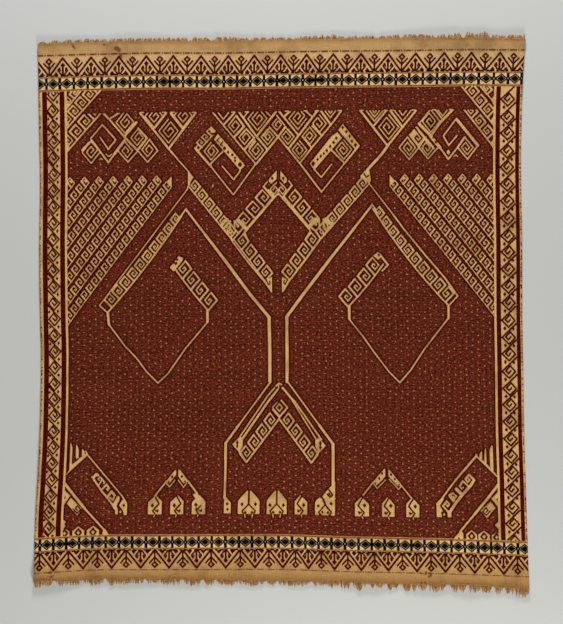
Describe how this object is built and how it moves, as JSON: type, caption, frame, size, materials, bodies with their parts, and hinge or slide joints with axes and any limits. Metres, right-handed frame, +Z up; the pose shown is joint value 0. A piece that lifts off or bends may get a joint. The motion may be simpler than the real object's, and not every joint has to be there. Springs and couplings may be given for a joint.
{
  "type": "tampan cloth",
  "caption": "Small ceremonial cloth, flat and face up, patterned in a raised extra weft of hooks, lozenges and triangles, with short raw fringes at both ends.",
  "frame": {"origin": "under the middle of the cloth and its fringes, on the surface that it lies on", "axes": "+X across the cloth from its left selvedge to its right, +Y along it to the top end, +Z up out of the patterned face"},
  "size_m": [0.6938, 0.789, 0.006],
  "materials": {
    "weave": "matt handspun cotton in a plain weave, with a dark red and indigo extra weft on a beige ground",
    "fringe_yarn": "matt aged cotton warp ends, beige to tan, frayed"
  },
  "bodies": {
    "root": {"cloth": "weave", "fringe_top": "fringe_yarn", "fringe_bottom": "fringe_yarn"}
  },
  "joints": []
}
